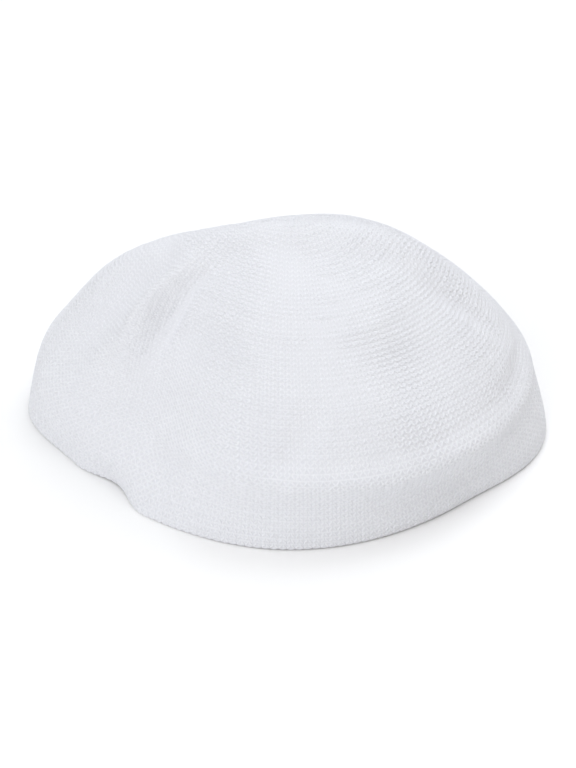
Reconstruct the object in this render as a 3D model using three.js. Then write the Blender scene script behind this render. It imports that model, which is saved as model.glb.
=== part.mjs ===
// Knit prayer cap, standing empty on its rim on a table.
// A soft knit dome, the crown, sits on a plain knit rim band. Both are one thin wall round an open hollow.
// Millimetres, +Z up, the front of the cap towards -Y, the rim's lower edge at z = 0.
import * as THREE from 'three';

// Driving dimensions
const wallThickness = 2.0;
const apexHeight = 77;
const bandHeight = 21;
const seamGap = 0.3;
const footprintCentre = [-1.8, -0.1];
const headCentreHeight = 10;

// How finely the walls are divided
const turns = 84;
const crownRings = 20;
const bandRings = 4;
const profileSteps = 32;

// The wall's section every 45 degrees, counter-clockwise from the right.
// crown, shoulder and belly are [reach, height], crease (at bandHeight) and rim (at zero) are reaches.
const wallSections = [
  { side: 'right',       crown: [34, 74], shoulder: [59, 58], belly: [79, 38], crease: 88, rim: 91 },
  { side: 'back right',  crown: [32, 70], shoulder: [55, 53], belly: [73, 34], crease: 83, rim: 86 },
  { side: 'back',        crown: [29, 67], shoulder: [53, 50], belly: [73, 33], crease: 83, rim: 86 },
  { side: 'back left',   crown: [32, 66], shoulder: [57, 50], belly: [77, 32], crease: 87, rim: 89 },
  { side: 'left',        crown: [36, 74], shoulder: [65, 60], belly: [84, 37], crease: 93, rim: 97 },
  { side: 'front left',  crown: [33, 69], shoulder: [53, 53], belly: [67, 37], crease: 77, rim: 84 },
  { side: 'front',       crown: [32, 67], shoulder: [56, 52], belly: [74, 37], crease: 86, rim: 86 },
  { side: 'front right', crown: [33, 69], shoulder: [58, 54], belly: [78, 39], crease: 88, rim: 84 },
];

// Where the wall is pushed out or in: a soft patch round an azimuth (degrees) and a height (mm).
const pushedPatches = [
  { name: 'left tuck',        azimuth: 212, span: 44,  height: 42, rise: 34, push: -7.5 },
  { name: 'left foot',        azimuth: 201, span: 24,  height: 0,  rise: 20, push: -6 },
  { name: 'left slope',       azimuth: 213, span: 46,  height: 24, rise: 23, push: -6.5 },
  { name: 'left notch',       azimuth: 218, span: 14,  height: -4, rise: 18, push: -7.5 },
  { name: 'front right tuck', azimuth: 308, span: 34,  height: 14, rise: 11, push: -3 },
  { name: 'right lip',        azimuth: 344, span: 28,  height: 2,  rise: 22, push: 4.5 },
  { name: 'right crease',     azimuth: 348, span: 30,  height: 31, rise: 8,  push: -1.8 },
  { name: 'crown roll',       azimuth: 295, span: 120, height: 26, rise: 7,  push: 2 },
  { name: 'band waist',       azimuth: 280, span: 90,  height: 14, rise: 13, push: -3 },
];

// Folds that run down the wall, from top to foot: [azimuth, place along the wall, 1 being the crease].
const folds = [
  { name: 'left ridge',    top: [201, 0.26], foot: [206, 0.92], width: 8,  lift: 4.5 },
  { name: 'left valley',   top: [209, 0.28], foot: [214, 0.80], width: 6,  lift: -3 },
  { name: 'left hollow',   top: [190, 0.34], foot: [186, 1.00], width: 15, lift: -8 },
  { name: 'front valley',  top: [279, 0.66], foot: [264, 1.00], width: 10, lift: -1.2 },
  { name: 'right hollow',  top: [312, 0.46], foot: [320, 0.98], width: 26, lift: -3.5 },
  { name: 'right wrinkle', top: [342, 0.42], foot: [349, 0.80], width: 7,  lift: -1.5 },
];

// The fold ridge across the top of the crown, from left to right.
const topRidge = { from: -42, to: 68, setBack: -2, width: 13, lift: 4 };

// A round hump: 1 at the middle, 0 at a distance of 1 and beyond.
const hump = (distance) => 0.5 + 0.5 * Math.cos(Math.PI * Math.min(Math.abs(distance), 1));

// The signed turn from azimuth b to azimuth a, between -180 and 180 degrees.
const turnBetween = (a, b) => ((a - b + 540) % 360) - 180;

// A smooth curve through four values, between the middle two.
function smoothBetween(before, start, end, after, share) {
  const bend = 2 * before - 5 * start + 4 * end - after;
  const twist = 3 * (start - end) + after - before;
  return 0.5 * (2 * start + share * (end - before + share * (bend + share * twist)));
}

// One of the section table's columns at any azimuth.
function sectionSize(azimuth, pick) {
  const place = ((azimuth % 360) + 360) % 360 / (360 / wallSections.length);
  const first = Math.floor(place);
  const row = (offset) => pick(wallSections.at((first + offset) % wallSections.length));
  return smoothBetween(row(-1), row(0), row(1), row(2), place - first);
}

// The wall's section at an azimuth: points [reach, height] from the apex to the rim, with the length so far.
const sectionCache = new Map();
function wallSection(azimuth) {
  if (sectionCache.has(azimuth)) return sectionCache.get(azimuth);
  const at = (name) => [0, 1].map((axis) => sectionSize(azimuth, (section) => section[name][axis]));
  const crease = [sectionSize(azimuth, (section) => section.crease), bandHeight];
  const rim = [sectionSize(azimuth, (section) => section.rim), 0];
  const crown = at('crown');
  const mirroredCrown = [-crown[0], crown[1]];
  const belowRim = [2 * rim[0] - crease[0], -bandHeight];
  const wallStations = [[0, apexHeight], crown, at('shoulder'), at('belly'), crease, rim];
  const stations = [mirroredCrown, ...wallStations, belowRim];
  const points = [{ reach: 0, height: apexHeight, length: 0 }];
  for (let span = 1; span < stations.length - 2; span += 1) {
    const four = stations.slice(span - 1, span + 3);
    for (let step = 1; step <= profileSteps; step += 1) {
      const [reach, height] = [0, 1].map((axis) =>
        smoothBetween(...four.map((station) => station[axis]), step / profileSteps));
      const last = points.at(-1);
      const length = last.length + Math.hypot(reach - last.reach, height - last.height);
      points.push({ reach, height, length });
    }
  }
  const creaseLength = points.at(-1 - profileSteps).length;
  const section = { points, creaseLength, rimLength: points.at(-1).length };
  sectionCache.set(azimuth, section);
  return section;
}

// The point of a section at a length from the apex.
function pointAlong(section, length) {
  const next = Math.max(1, section.points.findIndex((point) => point.length >= length));
  const [start, end] = [section.points[next - 1], section.points[next]];
  const share = (length - start.length) / (end.length - start.length);
  return {
    reach: THREE.MathUtils.lerp(start.reach, end.reach, share),
    height: THREE.MathUtils.lerp(start.height, end.height, share),
  };
}

// A place on the outside of the cap. along is 0 at the apex, 1 at the crease and 2 at the rim.
function outside(azimuth, along) {
  const section = wallSection(azimuth);
  const bandLength = section.rimLength - section.creaseLength;
  const crownShare = Math.min(along, 1);
  const bandShare = Math.max(along - 1, 0);
  const length = Math.min(crownShare * section.creaseLength + bandShare * bandLength, section.rimLength);
  let { reach, height } = pointAlong(section, length);
  for (const patch of pushedPatches) {
    const around = hump(turnBetween(azimuth, patch.azimuth) / patch.span);
    reach += patch.push * around * hump((height - patch.height) / patch.rise);
  }
  const angle = THREE.MathUtils.degToRad(azimuth);
  const point = new THREE.Vector3(reach * Math.cos(angle), reach * Math.sin(angle), height);
  const outward = new THREE.Vector3(point.x, point.y, point.z - headCentreHeight).normalize();
  let lift = 0;
  for (const fold of folds) {
    const share = THREE.MathUtils.clamp((along - fold.top[1]) / (fold.foot[1] - fold.top[1]), 0, 1);
    const middle = fold.top[0] + share * turnBetween(fold.foot[0], fold.top[0]);
    const across = THREE.MathUtils.degToRad(turnBetween(azimuth, middle)) * reach;
    const near = Math.abs(turnBetween(azimuth, middle)) < 90;
    if (near) lift += fold.lift * Math.sin(Math.PI * share) * hump(across / fold.width);
  }
  point.addScaledVector(outward, lift);
  const ridgeShare = THREE.MathUtils.clamp((point.x - topRidge.from) / (topRidge.to - topRidge.from), 0, 1);
  const ridgeRise = topRidge.lift * Math.sqrt(Math.sin(Math.PI * ridgeShare));
  point.z += ridgeRise * hump((point.y - topRidge.setBack) / topRidge.width);
  return point;
}

// The way the outside faces, from two short steps across the surface.
function facing(azimuth, along) {
  const turn = 1;
  const step = 0.02;
  const around = outside(azimuth + turn, along).sub(outside(azimuth - turn, along));
  const low = Math.max(along - step, 0);
  const high = Math.min(along + step, 2);
  const down = outside(azimuth, high).sub(outside(azimuth, low));
  return down.cross(around).normalize();
}

// The inside of the wall behind a place on the outside. At the rim the wall's lower edge stays flat.
function inside(azimuth, along) {
  const normal = along === 0 ? new THREE.Vector3(0, 0, 1) : facing(azimuth, along);
  if (along === 2) normal.setZ(0).normalize();
  return outside(azimuth, along).addScaledVector(normal, -wallThickness);
}

// A closed wall between two places along the section: outside, inside and the edges that join them.
function wallGeometry(rings, alongAt, closedAtApex) {
  const positions = [];
  const indices = [];
  const layers = [outside, inside].map((place) => {
    const rows = [];
    for (let ring = 0; ring <= rings; ring += 1) {
      const row = [];
      for (let turn = 0; turn < turns; turn += 1) {
        const azimuth = (360 * turn) / turns;
        if (closedAtApex && ring === 0 && turn > 0) {
          row.push(row[0]);
          continue;
        }
        row.push(positions.length / 3);
        positions.push(...place(azimuth, alongAt(ring / rings, azimuth)).toArray());
      }
      rows.push(row);
    }
    return rows;
  });
  const quad = (a, b, c, d) => {
    if (a !== b) indices.push(a, b, c);
    indices.push(b, d, c);
  };
  const [outer, inner] = layers;
  for (let turn = 0; turn < turns; turn += 1) {
    const next = (turn + 1) % turns;
    for (let ring = 0; ring < rings; ring += 1) {
      quad(outer[ring][next], outer[ring][turn], outer[ring + 1][next], outer[ring + 1][turn]);
      quad(inner[ring][turn], inner[ring][next], inner[ring + 1][turn], inner[ring + 1][next]);
    }
    quad(outer[rings][next], outer[rings][turn], inner[rings][next], inner[rings][turn]);
    if (!closedAtApex) quad(outer[0][turn], outer[0][next], inner[0][turn], inner[0][next]);
  }
  const geometry = new THREE.BufferGeometry();
  geometry.setAttribute('position', new THREE.Float32BufferAttribute(positions, 3));
  geometry.setIndex(indices);
  geometry.computeVertexNormals();
  return geometry;
}

// Half the seam's gap, as a share of the crown's length and of the band's length.
const crownEnd = (azimuth) => 1 - seamGap / 2 / wallSection(azimuth).creaseLength;
function bandStart(azimuth) {
  const { creaseLength, rimLength } = wallSection(azimuth);
  return 1 + seamGap / 2 / (rimLength - creaseLength);
}

function makeCrown() {
  const alongAt = (share, azimuth) => share * crownEnd(azimuth);
  const knitCotton = new THREE.MeshStandardMaterial({ color: 0xe9ebf0, roughness: 0.75, metalness: 0 });
  const crown = new THREE.Mesh(wallGeometry(crownRings, alongAt, true), knitCotton);
  crown.name = 'crown';
  return crown;
}

function makeRimBand() {
  const alongAt = (share, azimuth) => THREE.MathUtils.lerp(bandStart(azimuth), 2, share);
  const tightKnitCotton = new THREE.MeshStandardMaterial({ color: 0xe4e6eb, roughness: 0.75, metalness: 0 });
  const band = new THREE.Mesh(wallGeometry(bandRings, alongAt, false), tightKnitCotton);
  band.name = 'rim_band';
  return band;
}

const cap = new THREE.Group();
cap.name = 'knit_prayer_cap';
cap.add(makeCrown(), makeRimBand());
cap.position.set(-footprintCentre[0], -footprintCentre[1], 0);

export default cap;
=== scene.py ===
# Knit prayer cap in white stockinette, standing on its rim on a pale floor.
import math

import bmesh
import bpy
import numpy as np
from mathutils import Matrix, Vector


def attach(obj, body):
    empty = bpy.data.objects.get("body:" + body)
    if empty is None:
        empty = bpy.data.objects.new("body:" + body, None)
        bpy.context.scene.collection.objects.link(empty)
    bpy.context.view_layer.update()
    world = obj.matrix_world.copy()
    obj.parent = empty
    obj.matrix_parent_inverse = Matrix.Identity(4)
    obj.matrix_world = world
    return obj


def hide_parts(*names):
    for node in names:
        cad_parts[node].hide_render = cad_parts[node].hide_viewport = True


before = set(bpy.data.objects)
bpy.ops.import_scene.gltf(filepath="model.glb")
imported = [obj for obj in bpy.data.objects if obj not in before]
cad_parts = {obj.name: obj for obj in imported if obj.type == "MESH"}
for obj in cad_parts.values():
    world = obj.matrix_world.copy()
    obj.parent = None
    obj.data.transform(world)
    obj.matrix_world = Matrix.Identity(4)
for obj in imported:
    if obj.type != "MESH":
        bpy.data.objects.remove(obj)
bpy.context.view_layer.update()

mm = 0.001


# The cap's form, as in its solids: millimetres, and degrees counter-clockwise from the right.
capForm = {
    "apexHeight": 77,
    "bandHeight": 21,
    "footprintCentre": (-1.8, -0.1),
    "headCentreHeight": 10,
    # The wall's section every 45 degrees: crown, shoulder and belly are (reach, height), the rest reaches.
    "sections": [
        {"crown": (34, 74), "shoulder": (59, 58), "belly": (79, 38), "crease": 88, "rim": 91},  # right
        {"crown": (32, 70), "shoulder": (55, 53), "belly": (73, 34), "crease": 83, "rim": 86},  # back right
        {"crown": (29, 67), "shoulder": (53, 50), "belly": (73, 33), "crease": 83, "rim": 86},  # back
        {"crown": (32, 66), "shoulder": (57, 50), "belly": (77, 32), "crease": 87, "rim": 89},  # back left
        {"crown": (36, 74), "shoulder": (65, 60), "belly": (84, 37), "crease": 93, "rim": 97},  # left
        {"crown": (33, 69), "shoulder": (53, 53), "belly": (67, 37), "crease": 77, "rim": 84},  # front left
        {"crown": (32, 67), "shoulder": (56, 52), "belly": (74, 37), "crease": 86, "rim": 86},  # front
        {"crown": (33, 69), "shoulder": (58, 54), "belly": (78, 39), "crease": 88, "rim": 84},  # front right
    ],
    # Where the wall is pushed out or in, round an azimuth and a height.
    "patches": [
        {"name": "left tuck", "azimuth": 212, "span": 44, "height": 42, "rise": 34, "push": -7.5},
        {"name": "left foot", "azimuth": 201, "span": 24, "height": 0, "rise": 20, "push": -6},
        {"name": "left slope", "azimuth": 213, "span": 46, "height": 24, "rise": 23, "push": -6.5},
        {"name": "left notch", "azimuth": 218, "span": 14, "height": -4, "rise": 18, "push": -7.5},
        {"name": "front right tuck", "azimuth": 308, "span": 34, "height": 14, "rise": 11, "push": -3},
        {"name": "right lip", "azimuth": 344, "span": 28, "height": 2, "rise": 22, "push": 4.5},
        {"name": "right crease", "azimuth": 348, "span": 30, "height": 31, "rise": 8, "push": -1.8},
        {"name": "crown roll", "azimuth": 295, "span": 120, "height": 26, "rise": 7, "push": 2},
        {"name": "band waist", "azimuth": 280, "span": 90, "height": 14, "rise": 13, "push": -3},
    ],
    # Folds down the crown, from top to foot: (azimuth, share of the way from apex to crease).
    "folds": [
        {"name": "left ridge", "top": (201, 0.26), "foot": (206, 0.92), "width": 8, "lift": 4.5},
        {"name": "left valley", "top": (209, 0.28), "foot": (214, 0.80), "width": 6, "lift": -3},
        {"name": "left hollow", "top": (190, 0.34), "foot": (186, 1.00), "width": 15, "lift": -8},
        {"name": "front valley", "top": (279, 0.66), "foot": (264, 1.00), "width": 10, "lift": -1.2},
        {"name": "right hollow", "top": (312, 0.46), "foot": (320, 0.98), "width": 26, "lift": -3.5},
        {"name": "right wrinkle", "top": (342, 0.42), "foot": (349, 0.80), "width": 7, "lift": -1.5},
    ],
    "topRidge": {"from": -42, "to": 68, "setBack": -2, "width": 13, "lift": 4},
    "gridTurns": 720,      # azimuth steps of the surface grid
    "gridSteps": 200,      # steps from apex to crease, and again from crease to rim
    "spanSteps": 32,       # steps between two stations of a section
}


def hump(distance):
    return 0.5 + 0.5 * np.cos(np.pi * np.minimum(np.abs(distance), 1))


def turnBetween(a, b):
    return (a - b + 540) % 360 - 180


def smoothBetween(before, start, end, after, share):
    bend = 2 * before - 5 * start + 4 * end - after
    twist = 3 * (start - end) + after - before
    return 0.5 * (2 * start + share * (end - before + share * (bend + share * twist)))


def sectionStations(azimuth):
    rows = []
    for section in capForm["sections"]:
        crown = section["crown"]
        stations = [(-crown[0], crown[1]), (0, capForm["apexHeight"]), crown]
        stations += [section["shoulder"], section["belly"]]
        stations += [(section["crease"], capForm["bandHeight"]), (section["rim"], 0)]
        stations += [(2 * section["rim"] - section["crease"], -capForm["bandHeight"])]
        rows.append(stations)
    table = np.array(rows, float)
    count = len(table)
    place = azimuth / (360 / count)
    first = np.floor(place).astype(int)
    share = (place - first)[:, None, None]
    four = [table[(first + offset) % count] for offset in (-1, 0, 1, 2)]
    return smoothBetween(*four, share)


def makeCapGrid():
    turns, steps, spanSteps = capForm["gridTurns"], capForm["gridSteps"], capForm["spanSteps"]
    azimuth = np.arange(turns) * 360 / turns
    stations = sectionStations(azimuth)
    spans = stations.shape[1] - 3
    share = (np.arange(1, spanSteps + 1) / spanSteps)[None, :, None]
    profile = [stations[:, 1:2]]
    for span in range(spans):
        four = [stations[:, span + offset][:, None] for offset in range(4)]
        profile.append(smoothBetween(*four, share))
    profile = np.concatenate(profile, axis=1)
    lengths = np.zeros(profile.shape[:2])
    lengths[:, 1:] = np.cumsum(np.linalg.norm(np.diff(profile, axis=1), axis=2), axis=1)
    along = np.linspace(0, 2, 2 * steps + 1)
    reach = np.empty((turns, len(along)))
    height = np.empty_like(reach)
    for turn in range(turns):
        creaseLength, rimLength = lengths[turn, -1 - spanSteps], lengths[turn, -1]
        wanted = np.interp(along, (0, 1, 2), (0, creaseLength, rimLength))
        reach[turn] = np.interp(wanted, lengths[turn], profile[turn, :, 0])
        height[turn] = np.interp(wanted, lengths[turn], profile[turn, :, 1])
    facing = azimuth[:, None]
    for patch in capForm["patches"]:
        around = hump(turnBetween(facing, patch["azimuth"]) / patch["span"])
        reach = reach + patch["push"] * around * hump((height - patch["height"]) / patch["rise"])
    angle = np.radians(facing)
    points = np.stack([reach * np.cos(angle), reach * np.sin(angle), height], axis=-1)
    outward = points - np.array([0, 0, capForm["headCentreHeight"]])
    outward = outward / np.linalg.norm(outward, axis=-1, keepdims=True)
    lift = np.zeros_like(reach)
    for fold in capForm["folds"]:
        (topAzimuth, topShare), (footAzimuth, footShare) = fold["top"], fold["foot"]
        foldShare = np.clip((along - topShare) / (footShare - topShare), 0, 1)
        middle = topAzimuth + foldShare * turnBetween(footAzimuth, topAzimuth)
        away = turnBetween(facing, middle)
        across = hump(np.radians(away) * reach / fold["width"]) * (np.abs(away) < 90)
        lift = lift + fold["lift"] * np.sin(np.pi * foldShare) * across
    points = points + outward * lift[..., None]
    ridge = capForm["topRidge"]
    ridgeShare = np.clip((points[..., 0] - ridge["from"]) / (ridge["to"] - ridge["from"]), 0, 1)
    ridgeRise = ridge["lift"] * np.sqrt(np.sin(np.pi * ridgeShare))
    points[..., 2] += ridgeRise * hump((points[..., 1] - ridge["setBack"]) / ridge["width"])
    around = np.roll(points, -1, axis=0) - np.roll(points, 1, axis=0)
    down = np.gradient(points, axis=1)
    normals = np.cross(down, around)
    normals[:, 0] = (0, 0, 1)
    normals /= np.linalg.norm(normals, axis=-1, keepdims=True)
    points[..., :2] -= capForm["footprintCentre"]
    return points, normals


capPoints, capNormals = makeCapGrid()
print("cap surface:", capPoints.min((0, 1)).round(1), capPoints.max((0, 1)).round(1), "mm")


# Points and normals of the cap's outer face, between the grid's own, at any azimuths and places.
def onCap(azimuth, along):
    turns, steps = capForm["gridTurns"], capForm["gridSteps"]
    turn = (np.asarray(azimuth) % 360) * turns / 360
    step = np.clip(np.asarray(along) * steps, 0, 2 * steps - 1e-6)
    firstTurn, firstStep = np.floor(turn).astype(int), np.floor(step).astype(int)
    turnShare, stepShare = (turn - firstTurn)[..., None], (step - firstStep)[..., None]
    nextTurn = (firstTurn + 1) % turns
    firstTurn = firstTurn % turns
    found = []
    for grid in (capPoints, capNormals):
        upper = grid[firstTurn, firstStep] * (1 - turnShare) + grid[nextTurn, firstStep] * turnShare
        lower = grid[firstTurn, firstStep + 1] * (1 - turnShare) + grid[nextTurn, firstStep + 1] * turnShare
        found.append(upper * (1 - stepShare) + lower * stepShare)
    points, normals = found
    return points, normals / np.linalg.norm(normals, axis=-1, keepdims=True)


def linearColour(hexColour, alpha=1.0):
    values = [int(hexColour[i:i + 2], 16) / 255 for i in (1, 3, 5)]
    return tuple(v / 12.92 if v <= 0.04045 else ((v + 0.055) / 1.055) ** 2.4 for v in values) + (alpha,)


# Adds one node: settings are its properties, inputs its socket values or the sockets that feed them.
def addNode(tree, kind, settings=None, inputs=None):
    node = tree.nodes.new(kind)
    for name, value in (settings or {}).items():
        setattr(node, name, value)
    for socket, value in (inputs or {}).items():
        if isinstance(value, bpy.types.NodeSocket):
            tree.links.new(value, node.inputs[socket])
        else:
            node.inputs[socket].default_value = value
    return node


# Cotton yarn, soft spun and loosely plied: matt white with a faint cool cast, and a little sheen
# from loose fibres.
yarnLook = {
    "colour": "#eeeff3",
    "shadeColour": "#e8e9ee",
    # The inner yarn's colour is painted shade: darker than the yarn, standing in for the shade between the
    # loops.
    "innerPaintedShadeColour": "#e3e4e9",   # the yarn deep between the loops, which lies in their shade
    "fibreScaleMm": 0.5,        # tufts of fibre, drawn coarser than real ones so that they show
    "fibreDepthMm": 0.2,
    "toneScaleMm": 14,
    "ior": 1.53,
    "specular": 0.3,
    "roughness": 0.8,
    "sheen": 0.25,
    "sheenRoughness": 0.5,
    "bump": 0.25,
}


def makeYarn(name, colour, shadeColour):
    material = bpy.data.materials.new(name)
    material.use_nodes = True
    tree = material.node_tree
    tree.nodes.clear()
    place = addNode(tree, "ShaderNodeTexCoord")
    fibre = addNode(tree, "ShaderNodeTexNoise", inputs={
        "Vector": place.outputs["Object"], "Scale": 1 / (yarnLook["fibreScaleMm"] * mm), "Detail": 3})
    tone = addNode(tree, "ShaderNodeTexNoise", inputs={
        "Vector": place.outputs["Object"], "Scale": 1 / (yarnLook["toneScaleMm"] * mm), "Detail": 2})
    colourMix = addNode(tree, "ShaderNodeMix", {"data_type": "RGBA"}, {
        0: tone.outputs["Fac"], 6: linearColour(shadeColour), 7: linearColour(colour)})
    bump = addNode(tree, "ShaderNodeBump", inputs={
        "Strength": yarnLook["bump"], "Distance": yarnLook["fibreDepthMm"] * mm,
        "Height": fibre.outputs["Fac"]})
    shader = addNode(tree, "ShaderNodeBsdfPrincipled", inputs={
        "Base Color": colourMix.outputs[2], "Roughness": yarnLook["roughness"], "IOR": yarnLook["ior"],
        "Specular IOR Level": yarnLook["specular"], "Sheen Weight": yarnLook["sheen"],
        "Sheen Roughness": yarnLook["sheenRoughness"], "Normal": bump.outputs["Normal"]})
    addNode(tree, "ShaderNodeOutputMaterial", inputs={"Surface": shader.outputs["BSDF"]})
    return material


crownYarn = makeYarn("whiteCottonYarn", yarnLook["colour"], yarnLook["shadeColour"])
bandYarn = makeYarn("whiteCottonBandYarn", yarnLook["colour"], yarnLook["shadeColour"])
# The inner yarn material carries painted shade: its darker colour stands in for the shade between the loops.
innerYarnPaintedShade = makeYarn("whiteCottonInnerYarnPaintedShade", yarnLook["innerPaintedShadeColour"], yarnLook["innerPaintedShadeColour"])


# The knitting, in rounds from the rim to the crown's centre: stitches, the yarn's loops and the decreases.
knit = {
    "bandWales": 190,        # stitches in each round of the band
    "bandCourses": 10,
    "crownCourses": 66,
    "rimLift": 1.2,          # how far above the rim the lowest loops' yarn runs, in yarnWidths
    "crownStitch": 2.60,     # stitch width in the upper crown, mm
    "narrowing": (0.55, 0.95),   # between these places it changes from that to the width at the crease
    "lastStitches": 8,       # drawn together at the crown's centre
    "poleShift": 0.22,       # how far behind the top that centre lies, as a share of the way to the crease
    "dropScatter": 0.4,      # how unevenly the dropped stitches are spread round
    "settle": 0.45,          # how much of a dropped stitch's room its neighbours take at each settling
    "settlings": 4,          # in each round
    "yarnWidth": 0.60,       # half the yarn's width across the face, mm
    "yarnThickness": 0.42,   # half its thickness, mm
    "fullStitch": (2.9, 1.8),    # stitch width and round height that this yarn fills, mm
    "fullness": (0.4, 1.1),  # how far it thins in smaller stitches, and swells in larger ones
    "loopHeight": 0.50,      # half the loop's height, as a share of the round's
    "crownLoop": 0.80,       # the upper crown's loops are flatter, with this share of that height
    "flattening": (0.6, 0.9),    # between these places they change to full ones
    "loopLean": 0.30,        # how far the loop's legs spread, as a share of the stitch's width
    "loopDepth": 0.16,       # how far the legs stand out from the middle of the fabric, mm
    "middleDepth": 0.85,     # middle of the fabric below the outer face, mm
    "courseRelief": 0.04,    # how much a round may stand proud of the next, mm
    "unevenness": 0.04,
    "pointsPerStitch": 10,
    "yarnSides": 5,
    "roundSteps": 1440,      # steps in which a round's length is measured
    "directionSpan": 0.3,    # degrees to either side that give the round's direction at a point
    "seed": 7,
    "mostStitches": 1600,    # in one piece
}


# The yarn's path in Geometry Nodes: rows of points are drawn into loops, and a flat tube follows them.
def makeKnitTree():
    tree = bpy.data.node_groups.new("knitCourses", "GeometryNodeTree")
    wanted = {
        "Courses": "Geometry", "Yarn Width": "Float", "Yarn Thickness": "Float", "Loop Height": "Float",
        "Loop Lean": "Float", "Loop Depth": "Float", "Course Relief": "Float", "Unevenness": "Float",
        "Yarn Sides": "Int", "Seed": "Int", "Yarn": "Material"}
    sockets = {}
    for name, kind in wanted.items():
        socket = tree.interface.new_socket(name=name, in_out="INPUT", socket_type="NodeSocket" + kind)
        sockets[name] = socket.identifier
    tree.interface.new_socket(name="Knit", in_out="OUTPUT", socket_type="NodeSocketGeometry")
    given = addNode(tree, "NodeGroupInput").outputs
    values = {name: given[name] for name in wanted}

    # What each point of a round carries.
    carried = {
        "phase": "FLOAT", "fullness": "FLOAT", "stitch": "INT", "course": "INT",
        "alongCourse": "FLOAT_VECTOR", "downWale": "FLOAT_VECTOR", "faceIn": "FLOAT_VECTOR"}
    for name, kind in carried.items():
        read = addNode(tree, "GeometryNodeInputNamedAttribute", {"data_type": kind}, {"Name": name})
        values[name] = read.outputs[0]
    for name in ("stitch", "course"):
        draw = addNode(tree, "FunctionNodeRandomValue", {"data_type": "FLOAT"}, {
            2: -1.0, 3: 1.0, "ID": values[name], "Seed": given["Seed"]})
        values[name + "Chance"] = draw.outputs[1]

    # The loop's own shape: a value's name, how it is worked out, and from what.
    workings = [
        ("wholeTurn", "MULTIPLY", "phase", 2 * math.pi),
        ("doubleTurn", "MULTIPLY", "phase", 4 * math.pi),
        ("tension", "MULTIPLY_ADD", "stitchChance", "Unevenness", 1.0),
        ("sway", "SINE", "doubleTurn"),
        ("lean", "MULTIPLY", "sway", "Loop Lean"),
        ("wave", "COSINE", "wholeTurn"),
        ("evenDrop", "MULTIPLY", "wave", "Loop Height"),
        ("drop", "MULTIPLY", "evenDrop", "tension"),
        ("ripple", "COSINE", "doubleTurn"),
        ("evenDepth", "MULTIPLY", "ripple", "Loop Depth"),
        ("depth", "MULTIPLY", "evenDepth", "tension"),
        ("sunk", "MULTIPLY_ADD", "courseChance", "Course Relief", "depth"),
        ("inset", "MULTIPLY", "sunk", "fullness"),
    ]
    for name, operation, *sources in workings:
        inputs = {place: values.get(source, source) for place, source in enumerate(sources)}
        values[name] = addNode(tree, "ShaderNodeMath", {"operation": operation}, inputs).outputs[0]
    offset = None
    for direction, amount in (("alongCourse", "lean"), ("downWale", "drop"), ("faceIn", "inset")):
        move = addNode(tree, "ShaderNodeVectorMath", {"operation": "SCALE"}, {
            0: values[direction], "Scale": values[amount]}).outputs[0]
        if offset is not None:
            pair = {0: offset, 1: move}
            move = addNode(tree, "ShaderNodeVectorMath", {"operation": "ADD"}, pair).outputs[0]
        offset = move

    looped = addNode(tree, "GeometryNodeSetPosition", inputs={
        "Geometry": given["Courses"], "Offset": offset})
    path = addNode(tree, "GeometryNodeMeshToCurve", inputs={"Mesh": looped.outputs[0]})
    turned = addNode(tree, "GeometryNodeSetCurveNormal", {"mode": "FREE"}, {
        "Curve": path.outputs[0], "Normal": values["faceIn"]})
    size = addNode(tree, "ShaderNodeCombineXYZ", inputs={
        0: given["Yarn Width"], 1: given["Yarn Thickness"], 2: 1.0})
    ring = addNode(tree, "GeometryNodeCurvePrimitiveCircle", inputs={
        "Resolution": given["Yarn Sides"], "Radius": 1.0})
    section = addNode(tree, "GeometryNodeTransform", inputs={
        "Geometry": ring.outputs[0], "Scale": size.outputs[0]})
    tube = addNode(tree, "GeometryNodeCurveToMesh", inputs={
        "Curve": turned.outputs[0], "Profile Curve": section.outputs[0], "Scale": values["fullness"]})
    smooth = addNode(tree, "GeometryNodeSetShadeSmooth", inputs={"Geometry": tube.outputs[0]})
    real = addNode(tree, "GeometryNodeRealizeInstances", inputs={"Geometry": smooth.outputs[0]})
    dyed = addNode(tree, "GeometryNodeSetMaterial", inputs={
        "Geometry": real.outputs[0], "Material": given["Yarn"]})
    addNode(tree, "NodeGroupOutput", inputs={0: dyed.outputs[0]})
    return tree, sockets


knitTree, knitSockets = makeKnitTree()


# Where on the wall the knitting lies, by turn in degrees and place: 0 its centre, 1 the crease, 2 the rim.
def onKnit(turn, place):
    angle = np.radians(turn)
    inner = np.minimum(place, 1)
    x = inner * np.cos(angle)
    y = inner * np.sin(angle) + knit["poleShift"] * (1 - inner)
    return onCap(np.degrees(np.arctan2(y, x)), np.hypot(x, y) + np.maximum(place - 1, 0))


# Length down the wall between two places, as the mean of lines all round it.
def wallLength(low, high):
    turns = np.arange(0, 360, 15)
    places = np.linspace(low, high, 60)
    lines = np.stack([onKnit(turns, place)[0] for place in places])
    return np.linalg.norm(np.diff(lines, axis=0), axis=2).sum(axis=0).mean()


# The rounds' places, from the rim up. The rim's loops reach down to the surface that the cap stands on.
def coursePlaces():
    length = wallLength(1, 2)
    pitch = length / (knit["bandCourses"] + knit["loopHeight"])
    lowest = 2 - (knit["loopHeight"] * pitch + knit["rimLift"] * knit["yarnWidth"]) / length
    band = np.linspace(lowest, 1 + 0.5 * pitch / length, knit["bandCourses"])
    crown = 1 - (np.arange(knit["crownCourses"]) + 0.5) / knit["crownCourses"]
    return band, crown


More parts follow.
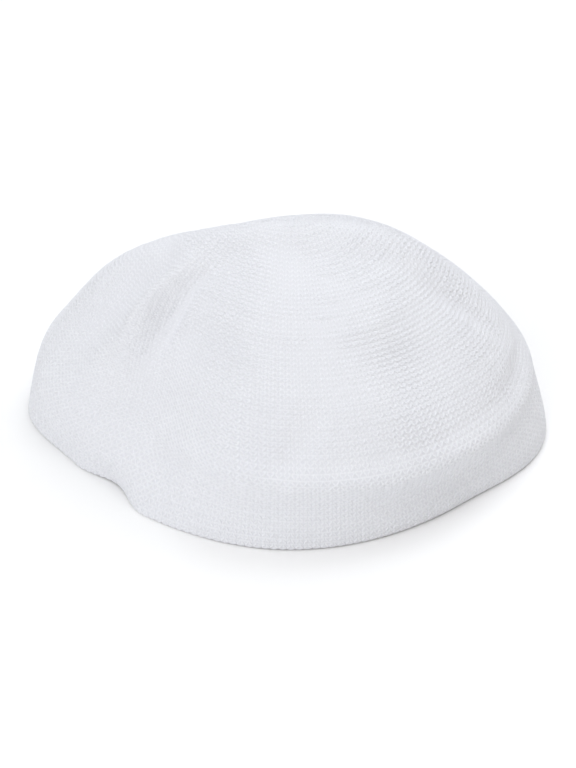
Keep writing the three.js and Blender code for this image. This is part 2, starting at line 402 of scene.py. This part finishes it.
# One round: points along it with what they carry, from its stitches' middles as shares of the round.
def makeCourse(number, place, step, middles, ring):
    turns, lengths = ring
    count = len(middles)
    before = np.roll(middles, 1)
    before[0] -= 1
    edges = (middles + before) / 2
    widths = np.diff(np.append(edges, edges[0] + 1))
    phases = np.arange(knit["pointsPerStitch"]) / knit["pointsPerStitch"]
    share = (edges[:, None] + widths[:, None] * phases).ravel() % 1
    turn = np.interp(share * lengths[-1], lengths, turns)
    points, normals = onKnit(turn, place)
    span = knit["directionSpan"]
    tangent = onKnit(turn + span, place)[0] - onKnit(turn - span, place)[0]
    tangent /= np.linalg.norm(tangent, axis=1, keepdims=True)
    width = np.repeat(widths * lengths[-1], len(phases))
    downWale = onKnit(turn, place + step / 2)[0] - onKnit(turn, max(place - step / 2, 0))[0]
    pitch = np.linalg.norm(downWale, axis=1)
    loopShare = np.interp(place, knit["flattening"], (knit["crownLoop"], 1))
    fullWidth, fullPitch = knit["fullStitch"]
    fullness = np.clip(np.minimum(width / fullWidth, pitch / fullPitch), *knit["fullness"])
    return {
        "points": points - normals * knit["middleDepth"],
        "phase": np.tile(phases, count),
        "alongCourse": tangent * width[:, None],
        "downWale": downWale * loopShare,
        "faceIn": -normals,
        "fullness": fullness,
        "course": np.full(len(points), number),
        "stitches": count,
    }


# All rounds, from the rim up. Stitches are dropped as the crown narrows, and the rest close up.
def makeCourses():
    chance = np.random.default_rng(knit["seed"])
    turns = np.linspace(-90, 270, knit["roundSteps"] + 1)
    band, crown = coursePlaces()
    middles = (np.arange(knit["bandWales"]) + 0.5) / knit["bandWales"]
    courses = {"band": [], "crown": []}
    creaseStitch = None
    for number, place in enumerate(np.concatenate([band, crown])):
        line = onKnit(turns, place)[0]
        lengths = np.append(0, np.cumsum(np.linalg.norm(np.diff(line, axis=0), axis=1)))
        inCrown = number >= len(band)
        step = 1 / knit["crownCourses"] if inCrown else band[0] - band[1]
        if inCrown:
            creaseStitch = creaseStitch or lengths[-1] / len(middles)
            stitch = np.interp(place, knit["narrowing"], (knit["crownStitch"], creaseStitch))
            dropped = len(middles) - max(knit["lastStitches"], round(lengths[-1] / stitch))
            if dropped > 0:
                spread = np.arange(dropped) + chance.random() + knit["dropScatter"] * chance.random(dropped)
                goes = (spread / dropped * len(middles)).astype(int) % len(middles)
                middles = np.delete(middles, goes)
        for _ in range(knit["settlings"]):
            after, before = np.roll(middles, -1), np.roll(middles, 1)
            after[-1] += 1
            before[0] -= 1
            middles = middles + knit["settle"] * ((after + before) / 2 - middles)
        course = makeCourse(number, place, step, middles, (turns, lengths))
        courses["crown" if inCrown else "band"].append(course)
    return courses


# Rounds as one mesh of closed lines of points, with the loops' attributes.
def makeCourseMesh(name, courses, firstStitch):
    edges, stitches, start, stitch = [], [], 0, firstStitch
    for course in courses:
        index = np.arange(len(course["points"]))
        edges.append(np.stack([start + index, start + np.roll(index, -1)], axis=1))
        stitches.append(stitch + index // knit["pointsPerStitch"])
        start += len(index)
        stitch += course["stitches"]
    mesh = bpy.data.meshes.new(name)
    mesh.vertices.add(start)
    mesh.edges.add(start)
    mesh.edges.foreach_set("vertices", np.concatenate(edges).ravel())
    carried = [key for key in courses[0] if key != "stitches"]
    values = {key: np.concatenate([course[key] for course in courses]) for key in carried}
    mesh.vertices.foreach_set("co", (values.pop("points") * mm).ravel())
    for key in ("alongCourse", "downWale"):
        values[key] = values[key] * mm
    values["stitch"] = np.concatenate(stitches)
    for key, value in values.items():
        kind = "FLOAT_VECTOR" if value.ndim > 1 else "INT" if value.dtype.kind == "i" else "FLOAT"
        layer = mesh.attributes.new(key, kind, "POINT")
        layer.data.foreach_set("vector" if value.ndim > 1 else "value", value.ravel())
    mesh.update()
    return mesh, stitch


# Knits a group of rounds and keeps the result as a plain mesh.
def knitPiece(name, courses, yarn, node, firstStitch):
    mesh, nextStitch = makeCourseMesh(name, courses, firstStitch)
    piece = bpy.data.objects.new(name, mesh)
    bpy.context.scene.collection.objects.link(piece)
    modifier = piece.modifiers.new("knit", "NODES")
    modifier.node_group = knitTree
    settings = {
        "Yarn Width": knit["yarnWidth"] * mm, "Yarn Thickness": knit["yarnThickness"] * mm,
        "Loop Height": knit["loopHeight"], "Loop Lean": knit["loopLean"],
        "Loop Depth": knit["loopDepth"] * mm, "Course Relief": knit["courseRelief"] * mm,
        "Unevenness": knit["unevenness"],
        "Yarn Sides": knit["yarnSides"], "Seed": knit["seed"], "Yarn": yarn}
    for setting, value in settings.items():
        modifier[knitSockets[setting]] = value
    graph = bpy.context.evaluated_depsgraph_get()
    knitted = bpy.data.meshes.new_from_object(piece.evaluated_get(graph), depsgraph=graph)
    piece.modifiers.remove(modifier)
    piece.data = knitted
    knitted.name = name
    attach(piece, "root")
    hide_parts(node)
    triangles = sum(len(face.vertices) - 2 for face in knitted.polygons)
    print(name, len(courses), "courses,", nextStitch - firstStitch, "stitches,", triangles, "triangles")
    return nextStitch


def knitPieces(name, courses, yarn, node, firstStitch):
    groups, stitches = [[]], 0
    for course in courses:
        if stitches + course["stitches"] > knit["mostStitches"]:
            groups.append([])
            stitches = 0
        groups[-1].append(course)
        stitches += course["stitches"]
    for number, group in enumerate(groups, 1):
        firstStitch = knitPiece(f"{name}_{number}", group, yarn, node, firstStitch)
    return firstStitch


knitCourses = makeCourses()
crownStart = knitPieces("band_knit", knitCourses["band"], bandYarn, "rim_band", 0)
knitPieces("crown_knit", knitCourses["crown"], crownYarn, "crown", crownStart)


# The middle of the fabric, a thin wall behind the loops that closes the gaps between them. Its yarn is
# coloured darker as painted shade, for the shade that the loops cast between them.
ground = {
    "turns": 180,
    "crownRings": 70,
    "bandRings": 12,
    "outerDepth": 0.54,      # its faces below the cap's outer face, mm
    "innerDepth": 1.4,
    "rimRoom": 0.8,          # how far above the rim it ends, mm
}


def makeGround(name, rings, low, high, yarn, node):
    azimuth = np.arange(ground["turns"]) * 360 / ground["turns"]
    build = bmesh.new()
    layers = []
    for depth in (ground["outerDepth"], ground["innerDepth"]):
        rows = []
        for place in np.linspace(low, high, rings + 1):
            points, normals = onCap(azimuth, np.full(len(azimuth), place))
            points = (points - normals * depth) * mm
            if place == 0:
                rows.append([build.verts.new(points[0])] * ground["turns"])
            else:
                rows.append([build.verts.new(point) for point in points])
        layers.append(rows)
    outer, inner = layers

    def wallFace(*corners):
        build.faces.new(list(dict.fromkeys(corners))).smooth = True

    def endFace(*corners):
        build.faces.new([build.verts.new(corner.co) for corner in corners])

    for turn in range(ground["turns"]):
        after = (turn + 1) % ground["turns"]
        for ring in range(rings):
            wallFace(outer[ring][turn], outer[ring + 1][turn], outer[ring + 1][after], outer[ring][after])
            wallFace(inner[ring][after], inner[ring + 1][after], inner[ring + 1][turn], inner[ring][turn])
        endFace(outer[rings][turn], inner[rings][turn], inner[rings][after], outer[rings][after])
        if low > 0:
            endFace(outer[0][after], inner[0][after], inner[0][turn], outer[0][turn])
    mesh = bpy.data.meshes.new(name)
    build.to_mesh(mesh)
    build.free()
    mesh.materials.append(yarn)
    piece = bpy.data.objects.new(name, mesh)
    bpy.context.scene.collection.objects.link(piece)
    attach(piece, "root")
    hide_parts(node)
    print(name, len(mesh.polygons), "faces")


bandLow = 2 - ground["rimRoom"] / wallLength(1, 2)
makeGround("crown_ground", ground["crownRings"], 0, 1, innerYarnPaintedShade, "crown")
makeGround("band_ground", ground["bandRings"], 1, bandLow, innerYarnPaintedShade, "rim_band")


# Pale floor of matt white paper, soft light and the photograph's camera.
studio = {
    "floorColour": "#fdfdfd",
    "floorSize": 6.0,
    "floorRoughness": 0.9,
    "worldColour": "#ffffff",
    "worldStrength": 0.45,
    "lights": [
        {"name": "backLight", "place": (0.4, 0.75, 1.05), "size": 1.2, "power": 7.3, "colour": "#f8fbff"},
        {"name": "topLight", "place": (0.0, 0.0, 1.4), "size": 1.2, "power": 4.3, "colour": "#f8fbff"},
        {"name": "keyLight", "place": (-0.7, -1.0, 0.7), "size": 1.4, "power": 8.1, "colour": "#ffffff"},
        {"name": "rightLight", "place": (1.2, -0.4, 0.6), "size": 1.4, "power": 2.3, "colour": "#fff4e8"},
    ],
}


def makeFloor():
    build = bmesh.new()
    bmesh.ops.create_grid(build, x_segments=1, y_segments=1, size=studio["floorSize"] / 2)
    mesh = bpy.data.meshes.new("floor")
    build.to_mesh(mesh)
    build.free()
    paper = bpy.data.materials.new("mattPaper")
    paper.use_nodes = True
    shader = paper.node_tree.nodes["Principled BSDF"]
    shader.inputs["Base Color"].default_value = linearColour(studio["floorColour"])
    shader.inputs["Roughness"].default_value = studio["floorRoughness"]
    mesh.materials.append(paper)
    floor = bpy.data.objects.new("floor", mesh)
    bpy.context.scene.collection.objects.link(floor)


def makeLights():
    world = bpy.data.worlds.new("studioWorld")
    world.use_nodes = True
    sky = world.node_tree.nodes["Background"]
    sky.inputs["Color"].default_value = linearColour(studio["worldColour"])
    sky.inputs["Strength"].default_value = studio["worldStrength"]
    bpy.context.scene.world = world
    for light in studio["lights"]:
        data = bpy.data.lights.new(light["name"], "AREA")
        data.shape = "DISK"
        data.size = light["size"]
        data.energy = light["power"]
        data.color = linearColour(light["colour"])[:3]
        lamp = bpy.data.objects.new(light["name"], data)
        lamp.location = light["place"]
        lamp.rotation_euler = (-Vector(light["place"])).to_track_quat("-Z", "Y").to_euler()
        bpy.context.scene.collection.objects.link(lamp)


photoCamera = {
    "elevation": 33,         # degrees above the table
    "distance": 1.0,
    "lookAt": (0.0008, -0.0003, 0.0126),
    "frameWidth": 0.2101,    # what the photograph's width spans at the cap
    "frameShape": (576, 768),
}


def makeCamera():
    data = bpy.data.cameras.new("photoCamera")
    wide, tall = photoCamera["frameShape"]
    frameHeight = photoCamera["frameWidth"] * tall / wide
    data.lens = data.sensor_width * photoCamera["distance"] / frameHeight
    camera = bpy.data.objects.new("photoCamera", data)
    raised = math.radians(photoCamera["elevation"])
    away = Vector((0, -math.cos(raised), math.sin(raised)))
    camera.location = Vector(photoCamera["lookAt"]) + away * photoCamera["distance"]
    camera.rotation_euler = (-away).to_track_quat("-Z", "Y").to_euler()
    bpy.context.scene.collection.objects.link(camera)
    bpy.context.scene.camera = camera


makeFloor()
makeLights()
makeCamera()
bpy.context.scene.view_settings.view_transform = "Standard"
print("studio ready")
